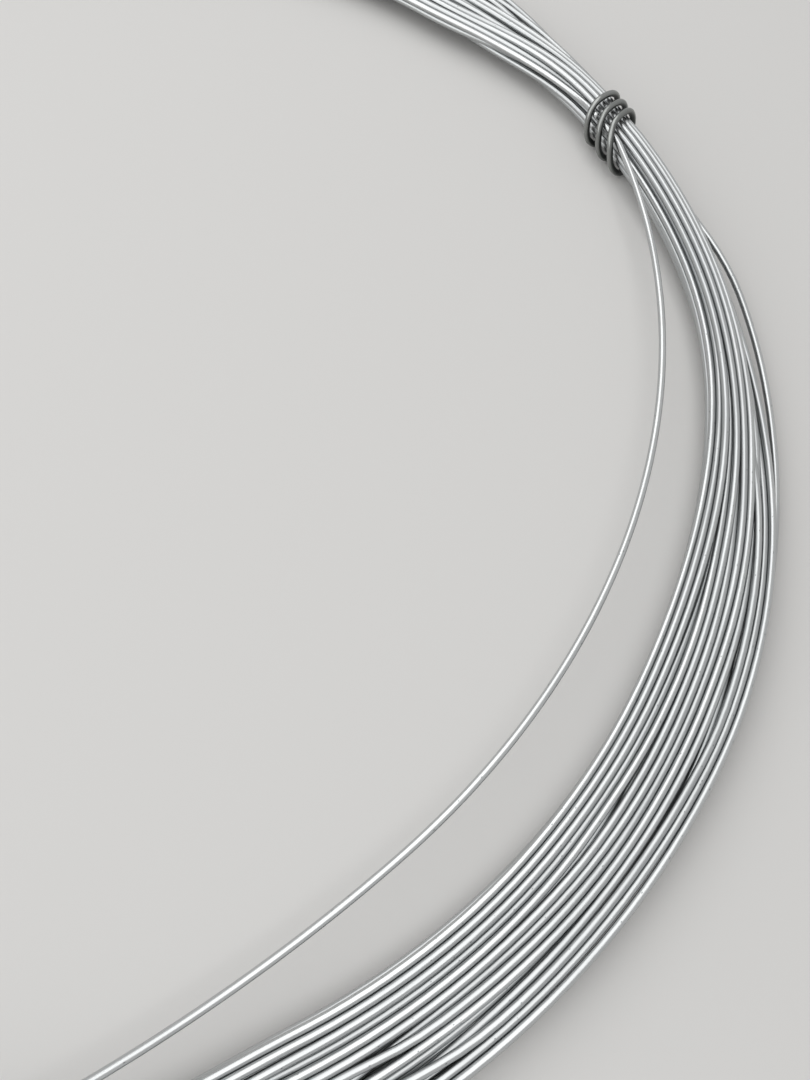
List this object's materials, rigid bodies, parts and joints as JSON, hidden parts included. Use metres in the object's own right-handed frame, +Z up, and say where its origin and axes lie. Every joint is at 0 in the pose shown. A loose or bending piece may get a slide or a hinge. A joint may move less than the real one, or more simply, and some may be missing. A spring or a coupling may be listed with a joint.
{
  "type": "coil of galvanized wire",
  "caption": "Flat-lying coil of plain galvanized steel wire, tied by hand at even intervals, fanned out between the ties, with one turn sprung into the eye",
  "frame": {"origin": "on the coil's axis, on the floor that the coil lies on", "axes": "+Z up along the coil's axis, +X towards the first tie, where the sprung turn starts"},
  "size_m": [0.655, 0.6542, 0.0284],
  "materials": {
    "galvanized_wire": "semi-gloss hot-dip zinc",
    "tie_wire": "semi-gloss hot-dip zinc, a little duller"
  },
  "bodies": {
    "root": {"wire_coil": "galvanized_wire", "sprung_turn": "galvanized_wire", "tie_1": "tie_wire", "tie_2": "tie_wire", "tie_3": "tie_wire"}
  },
  "joints": []
}
